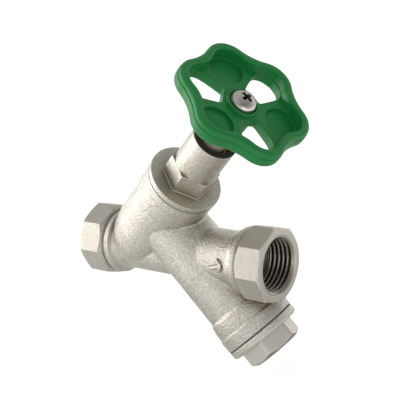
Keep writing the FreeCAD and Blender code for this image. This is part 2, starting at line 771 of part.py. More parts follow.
doc.recompute()
for part in subparts:
    for item in [part] + list(part.Group):
        if "Invalid" in item.State or "Error" in item.State:
            raise RuntimeError(f"{part.Label}: {item.Name} is {item.State}")
    if part.Shape.isNull() or not part.Shape.isValid():
        raise RuntimeError(f"{part.Label} has no sound shape")
for part in subparts:
    part.Shape.exportStep(f"parts/{part.Label}.step")
    print(part.Label, len(part.Shape.Solids), "solid(s),", round(part.Shape.Volume), "mm3")
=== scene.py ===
# %% [markdown]
# # A shut-off valve with a y-strainer
#
# The valve closes a half-inch water pipe, and a basket in its lower branch catches grit.
# The engineering model already exists and comes in as a fixed frame: every solid sits at
# its true place, in metres, with the inlet's mouth at the origin, +X along the pipe and
# +Z up.  This lesson gives that frame its looks.  It keeps the solids that already have
# the right surface, and builds again the pieces whose beauty lies in small forms: the
# moulded handwheel, the dust ring, the screw, the strainer's cap and its screen.  It also
# adds the pipe threads and the flow arrow, which the solids don't have.

import json
import math

import bmesh
import bpy
from mathutils import Matrix, Quaternion, Vector

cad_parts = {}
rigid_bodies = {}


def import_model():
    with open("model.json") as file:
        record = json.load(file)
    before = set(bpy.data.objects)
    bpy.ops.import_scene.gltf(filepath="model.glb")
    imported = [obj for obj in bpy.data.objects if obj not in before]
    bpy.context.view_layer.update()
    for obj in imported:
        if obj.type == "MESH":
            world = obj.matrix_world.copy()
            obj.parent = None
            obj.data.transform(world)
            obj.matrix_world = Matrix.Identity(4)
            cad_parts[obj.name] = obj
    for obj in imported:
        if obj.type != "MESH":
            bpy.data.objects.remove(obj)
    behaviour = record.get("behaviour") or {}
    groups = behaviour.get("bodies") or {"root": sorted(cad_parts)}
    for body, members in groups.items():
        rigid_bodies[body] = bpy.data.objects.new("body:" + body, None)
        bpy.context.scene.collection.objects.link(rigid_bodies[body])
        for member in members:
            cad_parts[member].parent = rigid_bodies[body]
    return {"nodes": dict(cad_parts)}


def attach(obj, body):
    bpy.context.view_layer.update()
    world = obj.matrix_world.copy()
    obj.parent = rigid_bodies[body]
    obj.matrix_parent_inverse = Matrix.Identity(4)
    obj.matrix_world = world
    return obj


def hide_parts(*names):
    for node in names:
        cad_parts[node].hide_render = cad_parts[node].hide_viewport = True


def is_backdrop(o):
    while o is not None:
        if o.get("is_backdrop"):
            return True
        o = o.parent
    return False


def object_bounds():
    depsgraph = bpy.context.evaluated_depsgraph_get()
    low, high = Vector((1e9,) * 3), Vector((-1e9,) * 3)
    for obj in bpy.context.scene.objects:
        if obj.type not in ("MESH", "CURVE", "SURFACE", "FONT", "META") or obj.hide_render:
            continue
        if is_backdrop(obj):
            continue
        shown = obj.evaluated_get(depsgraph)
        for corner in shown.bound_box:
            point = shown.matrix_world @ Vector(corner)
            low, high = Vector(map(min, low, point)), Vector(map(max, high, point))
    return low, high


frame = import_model()
nodes = frame["nodes"]
cad_low, cad_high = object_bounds()
MM = 0.001
print("solids:", len(nodes), "size in mm:", [round(v / MM, 1) for v in cad_high - cad_low])

# %% [markdown]
# ## Three axes
#
# Almost everything on a valve is round about one of three lines: the run of the pipe, the
# bonnet that leans up at 45 degrees, and the strainer that leans down at 50.  A piece is
# much easier to draw with its own axis as Z, so each line gets a matrix that carries
# millimetres of its own frame to metres of the valve's frame.  The same matrices place
# the lathe marks of the materials.

# %% Axes of the three branches
BONNET_CROSS = 18.65
STRAINER_CROSS = 46.3
RUN_LENGTH = 83.0


def axis_frame(cross, tilt):
    """Millimetres with Z along a branch, to metres in the valve's frame."""
    turn = Matrix.Rotation(math.radians(tilt), 4, "Y")
    return Matrix.Translation((cross * MM, 0, 0)) @ turn @ Matrix.Scale(MM, 4)


RUN = axis_frame(0, 90)
BONNET = axis_frame(BONNET_CROSS, 45)
STRAINER = axis_frame(STRAINER_CROSS, 140)
print("bonnet axis:", [round(v, 3) for v in (BONNET.to_3x3() @ Vector((0, 0, 1 / MM)))])

# %% [markdown]
# ## Four small tools for shapes
#
# Nearly every piece below is a set of equal rings of points with a skin of quads between
# them: a lathe profile turned round an axis, a rim drawn along a curve, a thread drawn
# along a helix.  `skin` makes that mesh, and `turned` makes it from a lathe profile.
# `rounded` breaks the corners of an outline, as every real edge is broken, because a tiny
# radius is what catches the light.  `make_piece` turns points and faces into an object,
# smooth but with its sharp edges kept.

# %% Rings, rounded outlines and pieces
# degrees from which an edge stays sharp, and metres within which points become one
SHARP = 35
WELD_DISTANCE = 1e-7


def skin(rings, row_closed=True):
    """Points, and the quads between each closed ring of points and the next."""
    size = len(rings[0])
    points = [point for ring in rings for point in ring]
    faces = []
    for i in range(len(rings) if row_closed else len(rings) - 1):
        here = i * size
        there = (i + 1) % len(rings) * size
        for j in range(size):
            k = (j + 1) % size
            faces.append((here + j, here + k, there + k, there + j))
    return points, faces


def rounded(corners, radius, steps=4):
    """The closed outline with each corner replaced by a small curve."""
    out = []
    for k, corner in enumerate(corners):
        here = Vector(corner)
        before = Vector(corners[k - 1]) - here
        after = Vector(corners[(k + 1) % len(corners)]) - here
        # less than half of each side, so that two curves never meet
        reach = min(radius, before.length * 0.45, after.length * 0.45)
        start = here + before.normalized() * reach
        end = here + after.normalized() * reach
        for i in range(steps + 1):
            t = i / steps
            out.append(tuple((1 - t) ** 2 * start + 2 * t * (1 - t) * here + t ** 2 * end))
    return out


def turned(profile, sides=96):
    """A closed profile of (radius, height) turned round Z."""
    rings = []
    for i in range(sides):
        turn = 2 * math.pi * i / sides
        rings.append([(r * math.cos(turn), r * math.sin(turn), z) for r, z in profile])
    return skin(rings)


def make_piece(name, shape, place, material, body, sharp=SHARP):
    """An object from points in millimetres; 'place' is one of the branch frames."""
    points, faces = shape
    mesh = bpy.data.meshes.new(name)
    mesh.from_pydata([place @ Vector(point) for point in points], [], faces)
    clean = bmesh.new()
    clean.from_mesh(mesh)
    bmesh.ops.remove_doubles(clean, verts=clean.verts, dist=WELD_DISTANCE)
    bmesh.ops.recalc_face_normals(clean, faces=clean.faces)
    clean.to_mesh(mesh)
    clean.free()
    mesh.shade_smooth()
    mesh.set_sharp_from_angle(angle=math.radians(sharp))
    mesh.materials.append(material)
    piece = bpy.data.objects.new(name, mesh)
    bpy.context.scene.collection.objects.link(piece)
    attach(piece, body)
    print(name, "has", len(mesh.polygons), "faces")
    return piece


# %% [markdown]
# ## Colours and nodes
#
# Colours are written as the sRGB hex values that a paint shop would use, and one function
# turns them to the linear values that light is reckoned in.  One more function adds a
# shader node: its own settings are keywords, and each input gets a number or the socket
# that feeds it.

# %% Colour and node helpers


def linear(hex_colour):
    """sRGB hex to linear RGBA."""
    parts = [int(hex_colour[k : k + 2], 16) / 255 for k in (1, 3, 5)]
    colour = [c / 12.92 if c <= 0.04045 else ((c + 0.055) / 1.055) ** 2.4 for c in parts]
    return (*colour, 1.0)


def add_node(tree, kind, inputs=None, **settings):
    """Add one node; 'inputs' maps a socket's name to a value or to an output socket."""
    node = tree.nodes.new(kind)
    for name, value in settings.items():
        setattr(node, name, value)
    for name, value in (inputs or {}).items():
        if isinstance(value, bpy.types.NodeSocket):
            tree.links.new(value, node.inputs[name])
        else:
            node.inputs[name].default_value = value
    return node


def new_material(name):
    """An empty material, its node tree and its output node."""
    material = bpy.data.materials.new(name)
    material.use_nodes = True
    tree = material.node_tree
    tree.nodes.clear()
    return material, tree, tree.nodes.new("ShaderNodeOutputMaterial")


def per_metre(size_mm):
    """Noise scale that gives spots of this size."""
    return 1 / (size_mm * MM)


# %% [markdown]
# ## Blasted metal
#
# The body comes out of a sand mould, is blasted with glass beads and gets a thin coat of
# nickel: a warm grey metal with a fine even grain, never a mirror.  The grain is 0.1 mm
# in truth; it is drawn at 0.6 mm so that it shows at this size.  A second, broader noise
# is the uneven skin that the sand leaves, and a Bevel node rounds the casting's edges in
# the shading, as the mould does.
#
# Two masks change the metal's colour.  Where the rounded normal leaves the true one there is
# an edge, painted brighter: partly wear rubbed by hands and tools, partly painted highlight.
# Where Ambient Occlusion finds little open air, in a crease or between parts, the colour is
# painted a dull brown, which is painted shade.  The bonnet, the flats of the nuts, the pipe
# threads and the forged cap share the recipe, each with its own colours, gloss and grain.

# %% Blasted metals
NICKEL = "#E2DED4"
NICKEL_DARK = "#C0BBAF"
# colour of outer edges: partly wear, partly painted highlight
WORN_EDGE_AND_HIGHLIGHT = "#F4F1EA"
# painted shade: the brown that creases and hollows between parts take
PAINTED_CREASE_SHADE = "#857D71"
GRAIN_SIZE = 0.6
WAVE_SIZE = 3.5
EDGE_ROUND = 0.4
# how far Ambient Occlusion looks for the painted shade, in mm
CREASE_REACH = 6.0


def edge_and_crease(tree, soft_normal):
    """Two masks from 0 to 1: outer edges, for wear and painted highlight, and openness to the air,
    for painted shade.
    """
    normal = add_node(tree, "ShaderNodeNewGeometry").outputs["Normal"]
    along = add_node(tree, "ShaderNodeVectorMath", {0: soft_normal, 1: normal},
                     operation="DOT_PRODUCT")
    edge = add_node(tree, "ShaderNodeMapRange",
                    {"Value": along.outputs["Value"], "From Min": 0.85, "From Max": 0.99,
                     "To Min": 1.0, "To Max": 0.0})
    shelter = add_node(tree, "ShaderNodeAmbientOcclusion", {"Distance": CREASE_REACH * MM},
                       samples=8)
    air = add_node(tree, "ShaderNodeMapRange",
                   {"Value": shelter.outputs["AO"], "From Min": 0.3, "From Max": 0.95})
    worn_and_highlight = add_node(tree, "ShaderNodeMath", {0: edge.outputs[0], 1: air.outputs[0]},
                    operation="MULTIPLY")
    return worn_and_highlight.outputs[0], air.outputs[0]


def blasted(name, colour, dark, gloss, relief):
    """Blasted metal; 'gloss' is its mean roughness and 'relief' the strength of its grain."""
    material, tree, output = new_material(name)
    place = add_node(tree, "ShaderNodeTexCoord").outputs["Object"]
    grain = add_node(tree, "ShaderNodeTexNoise",
                     {"Vector": place, "Scale": per_metre(GRAIN_SIZE), "Detail": 2.0,
                      "Roughness": 0.6})
    waves = add_node(tree, "ShaderNodeTexNoise",
                     {"Vector": place, "Scale": per_metre(WAVE_SIZE), "Detail": 2.0})
    speck = add_node(tree, "ShaderNodeMapRange",
                     {"Value": grain.outputs["Fac"], "From Min": 0.34, "From Max": 0.62})
    shade = add_node(tree, "ShaderNodeMapRange",
                     {"Value": waves.outputs["Fac"], "From Min": 0.3, "From Max": 0.7,
                      "To Min": -0.12, "To Max": 0.12})
    mixed = add_node(tree, "ShaderNodeMath", {0: speck.outputs[0], 1: shade.outputs[0]},
                     operation="ADD", use_clamp=True)
    colours = add_node(tree, "ShaderNodeMix",
                       {"Factor": mixed.outputs[0], "A": linear(dark), "B": linear(colour)},
                       data_type="RGBA")
    dull = add_node(tree, "ShaderNodeMapRange",
                    {"Value": grain.outputs["Fac"], "From Min": 0.3, "From Max": 0.7,
                     "To Min": gloss + 0.08, "To Max": gloss - 0.04})
    soft = add_node(tree, "ShaderNodeBevel", {"Radius": EDGE_ROUND * MM}, samples=8)
    worn_and_highlight, air = edge_and_crease(tree, soft.outputs[0])
    # outer edges painted brighter: partly wear, partly painted highlight
    bright = add_node(tree, "ShaderNodeMix",
                      {"Factor": worn_and_highlight, "A": colours.outputs["Result"], "B": linear(WORN_EDGE_AND_HIGHLIGHT)},
                      data_type="RGBA")
    # creases and hollows between parts painted brown: painted shade
    final = add_node(tree, "ShaderNodeMix",
                     {"Factor": air, "A": linear(PAINTED_CREASE_SHADE), "B": bright.outputs["Result"]},
                     data_type="RGBA")
    uneven = add_node(tree, "ShaderNodeBump",
                      {"Height": waves.outputs["Fac"], "Normal": soft.outputs[0],
                       "Strength": 0.2, "Distance": 0.35 * MM})
    bump = add_node(tree, "ShaderNodeBump",
                    {"Height": grain.outputs["Fac"], "Normal": uneven.outputs[0],
                     "Strength": relief, "Distance": 0.5 * MM})
    surface = add_node(tree, "ShaderNodeBsdfPrincipled",
                       {"Base Color": final.outputs["Result"], "Metallic": 1.0,
                        "Roughness": dull.outputs[0], "Normal": bump.outputs[0]})
    tree.links.new(surface.outputs[0], output.inputs["Surface"])
    return material


CAST = blasted("blasted_nickel_plated_cast_brass", NICKEL, NICKEL_DARK, 0.31, 0.8)
BLASTED_BONNET = blasted("blasted_nickel_plated_turned_brass", "#D3CEC2", "#BBB6AA", 0.35, 0.45)
NUT_FLAT = blasted("linished_nickel_plated_brass_flats", "#CCC7BC", "#BFBAAF", 0.42, 0.25)
# the thread's darker colours are painted shade in its valleys, and the edge mask paints highlights
# on its crests
SHADED_THREAD_NICKEL = blasted("nickel_plated_thread_painted_shade", "#A59E93", "#8C857A", 0.18, 0.0)
FORGED_CAP = blasted("blasted_nickel_plated_forged_brass", "#EAE5DA", "#CBC5B9", 0.34, 0.7)

# %% [markdown]
# ## Turned metal
#
# A lathe leaves fine rings round its axis.  The rings here are a noise that only knows
# two things about a point: its distance from the axis and its height along it, so it is
# the same all the way round.  The real feed is about 0.1 mm; it is drawn at 0.35 mm.
# The same recipe serves the cut faces of the ports, the cap's flats and end, the bare
# brass inside, the greased stem and the steel parts, each with its own colour and gloss.

# %% Turned metals
RING_FEED = 0.35
STAIN_SIZE = 4.0


def turned_metal(name, axis, colour, roughness, rings=0.25, edge=0.25, bare=1.0):
    """Metal with lathe rings round one branch; 'bare' below 1 lays a film of grease on it."""
    material, tree, output = new_material(name)
    place = add_node(tree, "ShaderNodeTexCoord").outputs["Object"]
    local = add_node(tree, "ShaderNodeMapping",
                     {"Vector": place, "Location": axis.to_translation(),
                      "Rotation": axis.to_euler()}, vector_type="TEXTURE")
    split = add_node(tree, "ShaderNodeSeparateXYZ", {"Vector": local.outputs[0]})
    flat = add_node(tree, "ShaderNodeCombineXYZ",
                    {"X": split.outputs["X"], "Y": split.outputs["Y"]})
    reach = add_node(tree, "ShaderNodeVectorMath", {0: flat.outputs[0]}, operation="LENGTH")
    along = add_node(tree, "ShaderNodeCombineXYZ",
                     {"X": reach.outputs["Value"], "Y": split.outputs["Z"]})
    lines = add_node(tree, "ShaderNodeTexNoise",
                     {"Vector": along.outputs[0], "Scale": per_metre(RING_FEED), "Detail": 2.0},
                     noise_dimensions="2D")
    stains = add_node(tree, "ShaderNodeTexNoise",
                      {"Vector": place, "Scale": per_metre(STAIN_SIZE), "Detail": 3.0})
    dull = add_node(tree, "ShaderNodeMapRange",
                    {"Value": stains.outputs["Fac"], "From Min": 0.3, "From Max": 0.7,
                     "To Min": roughness - 0.06, "To Max": roughness + 0.06})
    soft = add_node(tree, "ShaderNodeBevel", {"Radius": edge * MM}, samples=6)
    bump = add_node(tree, "ShaderNodeBump",
                    {"Height": lines.outputs["Fac"], "Normal": soft.outputs[0],
                     "Strength": rings, "Distance": 0.05 * MM})
    surface = add_node(tree, "ShaderNodeBsdfPrincipled",
                       {"Base Color": linear(colour), "Metallic": bare,
                        "Roughness": dull.outputs[0], "Normal": bump.outputs[0]})
    tree.links.new(surface.outputs[0], output.inputs["Surface"])
    return material


CAP_FLAT = turned_metal("linished_nickel_plated_cap_flats", STRAINER, "#E8E3D9", 0.42, rings=0.1)
TURNED_CAP = turned_metal("turned_nickel_plated_brass_cap", STRAINER, "#B5B0A5", 0.34)
TURNED_RUN = turned_metal("turned_nickel_plated_brass_port", RUN, "#C6C1B6", 0.32)
BARE_BRASS = turned_metal("turned_bare_brass", BONNET, "#D9B36C", 0.28)
STEM_BRASS = turned_metal("greased_stem_brass", BONNET, "#EBDAC6", 0.45, bare=0.35)
STEEL = turned_metal("stainless_steel", STRAINER, "#B4B3B0", 0.30)
SCREW_STEEL = turned_metal("plated_screw_steel", BONNET, "#C8C3BC", 0.12, rings=0.1, edge=0.15)
# the cross recess is painted dark grey: painted shade inside the cross
RECESS_SHADE_STEEL = turned_metal("screw_recess_painted_shade", BONNET, "#5E5A54", 0.45, rings=0.0, edge=0.1)

# %% [markdown]
# ## Plastics, rubber and fibre
#
# The wheel is moulded in glass-filled nylon, dyed dark green right through: a silky sheen
# with a faint orange-peel skin.  Rubber is nearly black and dull.  The gaskets are pressed
# fibre, blue-grey under the cap and pale under the bonnet, and the packing is white PTFE.

# %% Moulded materials
RUBBED_SIZE = 7.0


def moulded(name, colour, roughness, grain, strength, edge, ior=1.5):
    """A non-metal; 'grain' is the size of its skin's texture in mm, 'edge' its soft edges."""
    material, tree, output = new_material(name)
    place = add_node(tree, "ShaderNodeTexCoord").outputs["Object"]
    skin_noise = add_node(tree, "ShaderNodeTexNoise",
                          {"Vector": place, "Scale": per_metre(grain), "Detail": 2.0})
    rubbed = add_node(tree, "ShaderNodeTexNoise",
                      {"Vector": place, "Scale": per_metre(RUBBED_SIZE), "Detail": 3.0})
    dull = add_node(tree, "ShaderNodeMapRange",
                    {"Value": rubbed.outputs["Fac"], "From Min": 0.3, "From Max": 0.7,
                     "To Min": roughness - 0.05, "To Max": roughness + 0.05})
    soft = add_node(tree, "ShaderNodeBevel", {"Radius": edge * MM}, samples=6)
    bump = add_node(tree, "ShaderNodeBump",
                    {"Height": skin_noise.outputs["Fac"], "Normal": soft.outputs[0],
                     "Strength": strength, "Distance": 0.05 * MM})
    surface = add_node(tree, "ShaderNodeBsdfPrincipled",
                       {"Base Color": linear(colour), "Roughness": dull.outputs[0],
                        "IOR": ior, "Normal": bump.outputs[0]})
    tree.links.new(surface.outputs[0], output.inputs["Surface"])
    return material


GREEN_NYLON = moulded("moulded_green_nylon", "#178A40", 0.42, 0.5, 0.12, edge=0.15, ior=1.45)
RUBBER = moulded("black_rubber", "#16110F", 0.6, 0.3, 0.25, edge=0.2)
FIBRE = moulded("blue_grey_fibre_gasket", "#6B7984", 0.75, 0.2, 0.4, edge=0.1)
PALE_FIBRE = moulded("pale_fibre_gasket", "#A8A296", 0.7, 0.2, 0.4, edge=0.05)
PTFE = moulded("white_ptfe_packing", "#EDEBE4", 0.45, 0.4, 0.1, edge=0.1, ior=1.35)

# %% [markdown]
# ## Dressing the solids
#
# Most solids only need the right material.  The ports of the body are different: the end
# faces and bores were cut on a lathe, so those faces get the turned finish, and the flats
# of the nuts were made smooth on a belt.

# %% Materials for the solids
SOLID_MATERIALS = {
    "seat_ring": STEEL,
    "bonnet_gasket": PALE_FIBRE,
    "bonnet": BLASTED_BONNET,
    "gland_washer": BARE_BRASS,
    "stem_packing_rings": PTFE,
    "gland_follower": BARE_BRASS,
    "gland_nut": BARE_BRASS,
    "spindle": STEM_BRASS,
    "disc_holder": BARE_BRASS,
    "seat_washer": RUBBER,
    "disc_retaining_ring": BARE_BRASS,
    "disc_nut": BARE_BRASS,
    "cap_gasket": FIBRE,
    "basket_top_ring": STEEL,
    "basket_bottom_ring": STEEL,
}
SHARP_ON_SOLIDS = 30
# limits of the machined faces, in mm from a port's mouth and from the run's axis
PORT_DEPTH = 15.0
PORT_RADIUS = 11.2
NUT_DEPTH = 12.5
NUT_INSIDE = 12.0


def dress(node, *materials):
    """Give a solid its materials, in place of the plain ones it came with."""
    mesh = nodes[node].data
    mesh.materials.clear()
    for material in materials:
        mesh.materials.append(material)
    mesh.shade_smooth()
    mesh.set_sharp_from_angle(angle=math.radians(SHARP_ON_SOLIDS))


for node, material in SOLID_MATERIALS.items():
    dress(node, material)


def port_place(face):
    """How deep a face lies below the nearer port's mouth, and how far from the run's axis."""
    centre = face.center / MM
    return min(centre.x, RUN_LENGTH - centre.x), math.hypot(centre.y, centre.z)


def is_port_cut(face):
    """True on the machined end faces and bores of both ports."""
    depth, reach = port_place(face)
    end_face = depth < 0.1 and abs(face.normal.x) > 0.9
    return end_face or (depth < PORT_DEPTH and reach < PORT_RADIUS)


def is_nut_flat(face):
    """True on the flats of the eight-sided nuts round both ports."""
    depth, reach = port_place(face)
    return depth < NUT_DEPTH and abs(face.normal.x) < 0.02 and reach > NUT_INSIDE


dress("valve_body", CAST, TURNED_RUN, NUT_FLAT)
for face in nodes["valve_body"].data.polygons:
    if is_port_cut(face):
        face.material_index = 1
    elif is_nut_flat(face):
        face.material_index = 2
used = [face.material_index for face in nodes["valve_body"].data.polygons]
print("cast, machined and linished faces on the body:", [used.count(k) for k in range(3)])

# %% [markdown]
# ## Pipe threads
#
# The half-inch pipe thread has 14 turns to the inch, a pitch of 1.814 mm, and a ridge
# 1.16 mm high with a rounded tip.  The solid's bore stands at the roots.  The ridge is a
# small profile carried round a helix.  The chamfer of the mouth takes the tip off its
# first turn, and at the inner end it fades out over half a turn, as a tap leaves it.

# %% Threads of both ports
THREAD_PITCH = 1.814
THREAD_ROOT = 10.52
THREAD_TIP = 9.36
THREAD_START = -0.4
THREAD_TURNS = 7.0
FADE_TURNS = 0.5
LEAST_RIDGE = 0.02
MOUTH_RADIUS = 10.3
MOUTH_GAP = 0.1
STEPS_PER_TURN = 64
# the ridge's section, as (mm along the axis, share of its height)
RIDGE = [(-0.86, 0.0), (-0.14, 0.9), (-0.05, 1.0), (0.05, 1.0), (0.14, 0.9), (0.86, 0.0)]


def thread(mouth, inward):
    """Helical ridge from a port's mouth; 'inward' is +1 or -1 along the run."""
    rings = []
    count = int(THREAD_TURNS * STEPS_PER_TURN)
    for i in range(count + 1):
        turns = i / STEPS_PER_TURN
        fade = min(1.0, (THREAD_TURNS - turns) / FADE_TURNS)
        height = (THREAD_ROOT - THREAD_TIP) * max(fade, LEAST_RIDGE)
        depth = THREAD_START + THREAD_PITCH * turns
        turn = 2 * math.pi * turns * inward
        ring = []
        for across, rise in RIDGE:
            place = max(MOUTH_GAP, depth + across)
            reach = max(THREAD_ROOT - height * rise, MOUTH_RADIUS - place)
            ring.append((reach * math.cos(turn), reach * math.sin(turn), mouth + inward * place))
        rings.append(ring)
    return skin(rings, row_closed=False)


for name, mouth, inward in (("inlet_thread", 0.0, 1), ("outlet_thread", RUN_LENGTH, -1)):
    make_piece(name, thread(mouth, inward), RUN, SHADED_THREAD_NICKEL,
               "valve", sharp=60)

# %% [markdown]
# ## The flow arrow
#
# A small arrow stands up from the casting on the outlet pipe and shows which way the
# water goes.  It is drawn as three strokes laid on the pipe: a round bevel on a curve,
# half sunk in the surface, gives the soft ridge that a sand mould makes.

# %% Flow arrow
# places on the pipe, as (mm along the run, degrees from the pipe's top towards +Y)
ARROW_TIP = (65.3, -79)
ARROW_ENDS = [(63.1, -67), (63.7, -90), (60.5, -86)]
STROKE_RADIUS = 0.8
STROKE_STEPS = 8
PIPE_RADIUS = 10.1
FLARE_START = 65.4
FLARE_SLOPE = 0.35


def pipe_radius(x):
    """Outside radius of the outlet pipe, which flares towards its nut."""
    return PIPE_RADIUS + max(0.0, x - FLARE_START) * FLARE_SLOPE


def on_pipe(x, turn):
    """A point on the pipe, at an angle in degrees from its top towards +Y."""
    reach = pipe_radius(x) * MM
    angle = math.radians(turn)
    return (x * MM, reach * math.sin(angle), reach * math.cos(angle))


def make_flow_arrow():
    """Three strokes laid on the pipe, each from the arrow's tip."""
    curve = bpy.data.curves.new("flow_arrow", "CURVE")
    curve.dimensions = "3D"
    curve.bevel_depth = STROKE_RADIUS * MM
    curve.bevel_resolution = 3
    curve.use_fill_caps = True
    for end in ARROW_ENDS:
        stroke = curve.splines.new("POLY")
        stroke.points.add(STROKE_STEPS)
        for k, point in enumerate(stroke.points):
            t = k / STROKE_STEPS
            x = ARROW_TIP[0] + (end[0] - ARROW_TIP[0]) * t
            turn = ARROW_TIP[1] + (end[1] - ARROW_TIP[1]) * t
            point.co = (*on_pipe(x, turn), 1.0)
    curve.materials.append(CAST)
    arrow = bpy.data.objects.new("flow_arrow", curve)
    bpy.context.scene.collection.objects.link(arrow)
    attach(arrow, "valve")


make_flow_arrow()

# %% [markdown]
# ## The handwheel
#
# The wheel is one moulding with four ideas in it: a rim with six lobes for the fingers, a
# thin web with three openings, a round recess between each two openings, and a hub.  The
# rim is a section carried round two curves at once, the outer outline and the inner one,
# so its wall can swell at the lobes.  The web is a flat curve filled by Blender, with the
# openings as holes, which gives clean edges with a small round.  The hub is turned.

# %% Lobed outlines
WHEEL_TURN = 31.9
# heights along the bonnet's axis, here and in the next cells
RIM_BASE, RIM_TOP = 81.8, 88.0
WEB_BASE, WEB_TOP = 80.9, 84.2
STEPS_PER_ARC = 18


def lobed_outline(distance, radius, least):
    """Six arcs of one radius at a distance from the axis, joined by hollow arcs.

    'least' is how near the hollow arcs come to the axis.
    """
    half = math.radians(30)
    hollow = distance ** 2 + least ** 2 - 2 * distance * least * math.cos(half) - radius ** 2
    hollow /= 2 * (radius - least + distance * math.cos(half))
    far = least + hollow
    touch = math.atan2(far * math.sin(half), far * math.cos(half) - distance)
    points = []
    for k in range(6):
        turn = math.radians(WHEEL_TURN + 60 * k)
        for i in range(STEPS_PER_ARC):
            a = turn - touch + 2 * touch * i / STEPS_PER_ARC
            points.append((distance * math.cos(turn) + radius * math.cos(a),
                           distance * math.sin(turn) + radius * math.sin(a)))
        middle = turn + half
        spread = touch - half
        for i in range(STEPS_PER_ARC):
            a = middle + math.pi + spread - 2 * spread * i / STEPS_PER_ARC
            points.append((far * math.cos(middle) + hollow * math.cos(a),
                           far * math.sin(middle) + hollow * math.sin(a)))
    return points


OUTER = lobed_outline(distance=15.8, radius=8.55, least=21.15)
INNER = lobed_outline(distance=14.6, radius=6.5, least=17.6)
print("wheel is", round(2 * max(math.hypot(*p) for p in OUTER), 1), "mm across")

# %% Rim


def arc(centre, radius, start, end, steps=6):
    """Points of an arc, angles in degrees."""
    out = []
    for i in range(steps + 1):
        a = math.radians(start + (end - start) * i / steps)
        out.append((centre[0] + radius * math.cos(a), centre[1] + radius * math.sin(a)))
    return out


RIM_ROUND = 1.5
LIP_ROUND = 0.8
# heights of the small steps where the halves of the mould met
PARTING = 85.6
OPENING_PARTING = 83.3
# the section, as (distance inwards from the outer outline, height)
OUTER_SIDE = (
    arc((RIM_ROUND, RIM_BASE + RIM_ROUND), RIM_ROUND, 270, 180)
    + [(0.0, PARTING - 0.1), (0.1, PARTING), (0.28, PARTING + 0.06), (0.2, PARTING + 0.3)]
    + arc((RIM_ROUND + 0.2, RIM_TOP - RIM_ROUND), RIM_ROUND, 180, 90)
)
# and as (distance outwards from the inner outline, height)
INNER_SIDE = (
    arc((LIP_ROUND, RIM_TOP - LIP_ROUND), LIP_ROUND, 90, 180)
    + [(-0.12, WEB_TOP), (-0.15, OPENING_PARTING + 0.1), (-0.35, OPENING_PARTING)]
    + [(-0.35, WEB_BASE + 0.3), (-0.2, WEB_BASE), (0.5, WEB_BASE), (0.9, RIM_BASE)]
)


def wheel_rim():
    """The rim's section, carried round both lobed outlines."""
    rings = []
    for outside, inside in zip(OUTER, INNER):
        inwards = (Vector(inside) - Vector(outside)).normalized()
        ring = [(*(Vector(outside) + inwards * off), height) for off, height in OUTER_SIDE]
        ring += [(*(Vector(inside) - inwards * off), height) for off, height in INNER_SIDE]
        rings.append(ring)
    return skin(rings)


# %% Web, openings and recesses
# half of an opening, as (distance from the axis, distance from the opening's middle line)
OPENING = [(6.8, 3.4), (8.5, 4.0), (11.0, 4.7), (13.0, 5.25), (15.0, 5.7), (17.0, 5.7),
           (18.7, 4.8), (20.0, 3.1), (20.8, 0.0)]
OPENING_ROUND = 0.9
RECESS_DISTANCE = 15.1
RECESS_RADIUS = 6.2
RECESS_SIDES = 48
RECESS_DEPTH = 1.1
RECESS_FLOOR = WEB_TOP - RECESS_DEPTH
PLATE_EDGE = 0.15
PLATE_OVERLAP = 0.4


def turned_to(points, degrees):
    """The points turned round the wheel's axis."""
    turn = Matrix.Rotation(math.radians(degrees), 2)
    return [tuple(turn @ Vector(point)) for point in points]


def opening(degrees):
    """Outline of a finger opening, turned to its place."""
    other_side = [(along, -across) for along, across in reversed(OPENING[:-1])]
    return turned_to(rounded(OPENING + other_side, OPENING_ROUND), degrees)


def recess(degrees):
    """Outline of a round recess, turned to its place."""
    circle = arc((RECESS_DISTANCE, 0), RECESS_RADIUS, 0, 360, steps=RECESS_SIDES)[:-1]
    return turned_to(circle, degrees)


def plate(outlines, low, high):
    """A flat plate between two heights; the first outline is its rim, the rest are holes."""
    curve = bpy.data.curves.new("plate", "CURVE")
    curve.dimensions = "2D"
    curve.fill_mode = "BOTH"
    curve.extrude = (high - low) / 2 - PLATE_EDGE
    curve.bevel_depth = PLATE_EDGE
    curve.bevel_resolution = 2
    curve.offset = -PLATE_EDGE
    for outline in outlines:
        line = curve.splines.new("POLY")
        line.points.add(len(outline) - 1)
        for point, place in zip(line.points, outline):
            point.co = (*place, 0.0, 1.0)
        line.use_cyclic_u = True
    holder = bpy.data.objects.new("plate", curve)
    bpy.context.scene.collection.objects.link(holder)
    filled = holder.evaluated_get(bpy.context.evaluated_depsgraph_get())
    mesh = bpy.data.meshes.new_from_object(filled)
    middle = (low + high) / 2
    points = [(v.co.x, v.co.y, v.co.z + middle) for v in mesh.vertices]
    faces = [tuple(face.vertices) for face in mesh.polygons]
    bpy.data.objects.remove(holder)
    bpy.data.curves.remove(curve)
    bpy.data.meshes.remove(mesh)
    return points, faces


def joined(*shapes):
    """Several shapes as one."""
    points, faces = [], []
    for more_points, more_faces in shapes:
        start = len(points)
        points += more_points
        faces += [tuple(start + v for v in face) for face in more_faces]
    return points, faces


WEB_RIM = lobed_outline(distance=14.6, radius=7.2, least=18.2)
openings = [opening(WHEEL_TURN + 60 + 120 * k) for k in range(3)]
recesses = [recess(WHEEL_TURN + 120 * k) for k in range(3)]
floor_plate = plate([WEB_RIM] + openings, WEB_BASE, RECESS_FLOOR)
top_plate = plate([WEB_RIM] + openings + recesses, RECESS_FLOOR - PLATE_OVERLAP, WEB_TOP)

